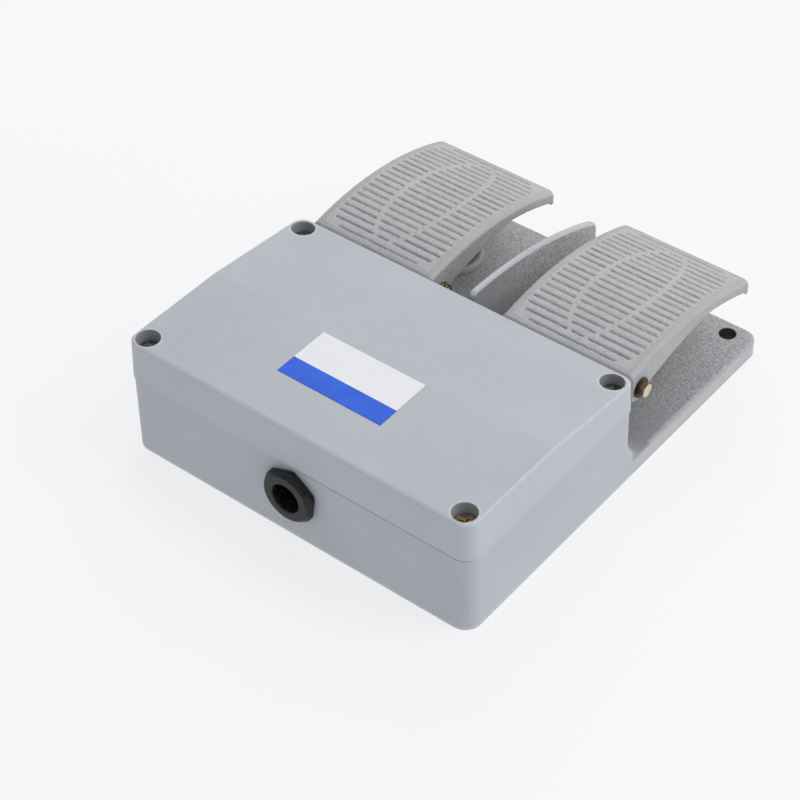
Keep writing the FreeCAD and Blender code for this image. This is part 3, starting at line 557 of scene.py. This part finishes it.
def apply_modifiers(piece):
    bpy.context.view_layer.update()
    graph = bpy.context.evaluated_depsgraph_get()
    mesh = bpy.data.meshes.new_from_object(piece.evaluated_get(graph))
    piece.modifiers.clear()
    piece.data = mesh


def smooth_faces(piece):
    for face in piece.data.polygons:
        face.use_smooth = True


def narrowed(node_name, piece_name, share):
    """A hinge bolt or nut with its hexagon drawn in about the hinge's line and its edges broken."""
    piece = copied(node_name, piece_name)
    for vert in piece.data.vertices:
        y = vert.co.y - HINGE_Y
        z = vert.co.z - HINGE_Z
        if math.hypot(y, z) > HINGE_SHANK_R:
            vert.co.y = HINGE_Y + y * share
            vert.co.z = HINGE_Z + z * share
    bevel = piece.modifiers.new("chamfer", "BEVEL")
    bevel.width = HEAD_CHAMFER
    bevel.segments = 2
    bevel.limit_method = "ANGLE"
    bevel.angle_limit = math.radians(28)
    apply_modifiers(piece)
    return piece


def softened(node_name, piece_name, voxel, passes):
    """A CAD node's shape with the rounded edges of a casting."""
    piece = copied(node_name, piece_name)
    remesh = piece.modifiers.new("skin", "REMESH")
    remesh.mode = "VOXEL"
    remesh.voxel_size = voxel
    smooth = piece.modifiers.new("smooth", "SMOOTH")
    smooth.factor = 0.5
    smooth.iterations = passes
    apply_modifiers(piece)
    smooth_faces(piece)
    return piece


def grain_skin(piece, length, depth):
    """Raises and sinks the skin along its normals in two sizes of grain, as sand-cast paint does."""
    verts = piece.data.vertices
    places = [vert.co.copy() for vert in verts]
    normals = [vert.normal.copy() for vert in verts]
    for vert, place, normal in zip(verts, places, normals):
        height = noise.noise(place / length) + 0.5 * noise.noise(place * 2.3 / length)
        vert.co = place + normal * height * depth


def turn_hexagon(piece):
    """Turns the cable entry's hexagon and draws it in toward its bore."""
    turn = Matrix.Rotation(math.radians(HEX_TURN), 2)
    for vert in piece.data.vertices:
        if vert.co.y > HEX_Y:
            across = turn @ Vector((vert.co.x, vert.co.z - GLAND_Z))
            reach = min(across.length, HEX_CORNER_R)
            if reach > HEX_KEEP_R:
                across = across.normalized() * (HEX_KEEP_R + (reach - HEX_KEEP_R) * HEX_SHARE)
            vert.co.x = across.x
            vert.co.z = GLAND_Z + across.y


def coil(name, x, y, z0, z1, radius, wire, turns):
    """Compression spring with closed, ground ends, as a swept tube. The wire is given by its radius."""
    steps = 40
    sides = 14

    # Closed turns at each end, their rise per turn, the middle of the wire over a ground end, the free rise
    closed = 1.1
    stack = wire * 2 * 0.98
    sink = wire * 0.35
    climb = z1 - z0 - 2 * sink - 2 * closed * stack

    def height(t):
        """Height of the wire's middle after t turns."""
        rise = min(max((t - closed) / (turns - 2 * closed), 0.0), 1.0)
        flat = stack * (min(t, closed) + min(max(t - turns + closed, 0.0), closed))
        return z0 + sink + flat + rise * climb

    count = int(turns * steps)
    centres = []
    for i in range(count + 1):
        t = i / steps
        a = 2 * math.pi * t
        centres.append(Vector((x + radius * math.cos(a), y + radius * math.sin(a), height(t))))
    form = bmesh.new()
    rings = []
    for i, centre in enumerate(centres):
        along = (centres[min(i + 1, count)] - centres[max(i - 1, 0)]).normalized()
        outward = Vector((centre.x - x, centre.y - y, 0)).normalized()
        up = along.cross(outward).normalized()
        ring = []
        for k in range(sides):
            b = 2 * math.pi * k / sides
            point = centre + (outward * math.cos(b) + up * math.sin(b)) * wire
            point.z = min(max(point.z, z0), z1)
            ring.append(form.verts.new(point))
        rings.append(ring)
    for a, b in zip(rings, rings[1:]):
        for k in range(sides):
            form.faces.new((a[k], a[(k + 1) % sides], b[(k + 1) % sides], b[k]))
    form.faces.new(rings[0])
    form.faces.new(reversed(rings[-1]))
    bmesh.ops.recalc_face_normals(form, faces=form.faces)
    mesh = bpy.data.meshes.new(name)
    form.to_mesh(mesh)
    form.free()
    piece = in_scene(name, mesh)
    smooth_faces(piece)
    return piece


def paint_with(piece, finish):
    give_finish(piece, finish)


gland = softened("gland_body", "gland_casting", GLAND_VOXEL, passes=2)
turn_hexagon(gland)
paint_with(gland, "nylon")
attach(gland, "housing")
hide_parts("gland_body")

for side, sign in (("left", -1), ("right", 1)):
    for part, share in (("hinge_bolt", BOLT_SHARE), ("hinge_nut", NUT_SHARE)):
        node_name = side + "_" + part
        fixing = narrowed(node_name, node_name + "_worn", share)
        paint_with(fixing, "hinge")
        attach(fixing, "housing")
        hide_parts(node_name)
    pedal = softened(side + "_pedal", side + "_pedal_casting", PEDAL_VOXEL, passes=3)
    grain_skin(pedal, GRAIN_LENGTH, GRAIN_DEPTH)
    paint_with(pedal, "pedal")
    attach(pedal, side + "_pedal")
    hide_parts(side + "_pedal")
    low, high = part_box(side + "_return_spring")
    mid_x = sign * PEDAL_MID
    coil_name = side + "_coil_spring"
    spring = coil(coil_name, mid_x, SPRING_Y, low.z, high.z, SPRING_R, SPRING_WIRE_R, SPRING_TURNS)
    paint_with(spring, "spring")
    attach(spring, "housing")
    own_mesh(spring)
    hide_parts(side + "_return_spring")


# Floor, light and camera

def ground():
    """Pale paper that glows a little, so that the shadows on it stay soft and light."""
    bpy.ops.mesh.primitive_plane_add(size=6.0, location=(0, 0, 0))
    floor = bpy.context.object
    floor.name = "floor"
    paint = Paint("floor_paper")
    cloud = paint.ramp(paint.noise(3.0, 2.0), 0.3, 0.7)
    paint.colour(paint.mix(cloud, (0.180, 0.180, 0.182), (0.186, 0.186, 0.188)))
    paint.set(Roughness=0.9, Specular_IOR_Level=0.0, Emission_Strength=0.755)
    paint.feed_colour(paint.shader, "Emission Color", (1.0, 1.0, 1.01))
    floor.data.materials.append(paint.material)
    floor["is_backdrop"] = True


def sky(base, toward_gland):
    """Pale studio surround, darker and a little bluer on the cable entry's side."""
    world = bpy.data.worlds.new("studio")
    scene.world = world
    world.use_nodes = True
    tree = world.node_tree
    place = tree.nodes.new("ShaderNodeTexCoord")
    split = tree.nodes.new("ShaderNodeSeparateXYZ")
    tree.links.new(place.outputs["Generated"], split.inputs[0])
    shade = tree.nodes.new("ShaderNodeMapRange")
    tree.links.new(split.outputs["Y"], shade.inputs["Value"])
    shade.inputs["From Min"].default_value = -0.6
    shade.inputs["From Max"].default_value = 0.9
    tint = tree.nodes.new("ShaderNodeMix")
    tint.data_type = "RGBA"
    tree.links.new(shade.outputs[0], tint.inputs[0])
    tint.inputs[6].default_value = (base * 0.985, base * 0.99, base, 1.0)
    tint.inputs[7].default_value = (toward_gland * 0.93, toward_gland * 0.955, toward_gland * 1.02, 1.0)
    tree.links.new(tint.outputs[2], tree.nodes["Background"].inputs["Color"])


def soft_box(name, place, size, power):
    """A square studio lamp that looks at the middle of the object's underside."""
    data = bpy.data.lights.new(name, "AREA")
    data.shape = "SQUARE"
    data.size = size
    data.energy = power
    lamp = bpy.data.objects.new(name, data)
    lamp.location = place
    lamp.rotation_mode = "QUATERNION"
    lamp.rotation_quaternion = (-Vector(place)).to_track_quat("-Z", "Y")
    scene.collection.objects.link(lamp)


def photo_camera():
    """The photograph's place and direction, solved from the casting's straight edges."""
    place = (-0.33377, 0.43122, 0.50624)
    right = Vector((-0.782177, -0.622805, -0.017701))
    up = Vector((0.414198, -0.540990, 0.731963))
    forward = Vector((0.465446, -0.565193, -0.681114))
    data = bpy.data.cameras.new("photo_camera")
    data.lens = 101.51
    data.sensor_width = 36.0
    data.clip_start = 0.01
    data.clip_end = 20.0
    camera = bpy.data.objects.new("photo_camera", data)
    columns = Matrix((right, up, -forward)).transposed()
    camera.matrix_world = Matrix.Translation(place) @ columns.to_4x4()
    scene.collection.objects.link(camera)
    scene.camera = camera


ground()
sky(0.865, 0.43)
soft_box("key", (-0.9, -0.5, 1.3), 0.9, 9.0)
soft_box("fill", (0.5, -0.9, 0.9), 0.8, 3.0)
photo_camera()
scene.view_settings.view_transform = "Standard"
scene.view_settings.look = "None"
scene.view_settings.exposure = 0.0
scene.view_settings.gamma = 1.0

low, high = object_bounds()
